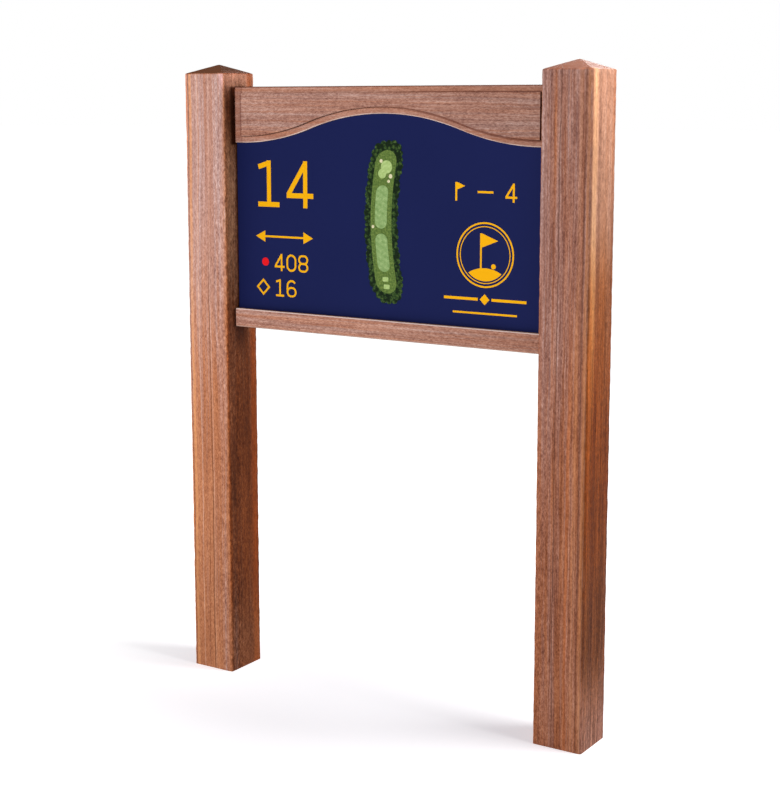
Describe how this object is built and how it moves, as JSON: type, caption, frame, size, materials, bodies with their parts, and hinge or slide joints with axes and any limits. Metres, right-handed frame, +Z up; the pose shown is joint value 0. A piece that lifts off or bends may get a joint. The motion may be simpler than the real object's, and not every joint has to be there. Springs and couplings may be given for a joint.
{
  "type": "golf tee sign",
  "caption": "Post-mounted timber golf tee sign: square posts with weathered tops, an ogee top rail, a plain bottom rail and a framed navy panel with figures and a hole plan.",
  "frame": {"origin": "on the surface under the posts' feet, midway between the two posts and on their centre plane", "axes": "+Z up along the posts, +X to the reader's right, and the printed face looks along -Y"},
  "size_m": [0.865, 0.095, 1.2],
  "materials": {
    "hardwood": "brushed straight-grained reddish hardwood, oiled",
    "plug_timber": "end-grain timber plug, flush",
    "backing": "matt dark grey board",
    "navy_sheet": "satin navy print on an aluminium sheet",
    "packer_rubber": "matt black",
    "stainless": "plain stainless",
    "gold_film": "satin gold-yellow film",
    "red_film": "satin red film",
    "woods_film": "satin dark green print",
    "rough_film": "satin mid green print",
    "fairway_film": "satin pale green print",
    "green_film": "satin light green print",
    "sand_film": "satin sand-coloured print"
  },
  "bodies": {
    "root": {"left_post": "hardwood", "right_post": "hardwood", "top_rail": "hardwood", "bottom_rail": "hardwood", "backing_board": "backing", "face_sheet": "navy_sheet", "panel_packers": "packer_rubber", "top_rail_screws": "stainless", "bottom_rail_screws": "stainless", "top_rail_plugs": "plug_timber", "bottom_rail_plugs": "plug_timber", "tee_dot_film": "red_film", "hole_number_film": "gold_film", "distance_arrow_film": "gold_film", "distance_figures_film": "gold_film", "index_film": "gold_film", "par_film": "gold_film", "badge_film": "gold_film", "divider_film": "gold_film", "plan_woods_film": "woods_film", "plan_rough_film": "rough_film", "plan_fairway_film": "fairway_film", "plan_greens_film": "green_film", "plan_bunkers_film": "sand_film"}
  },
  "joints": []
}
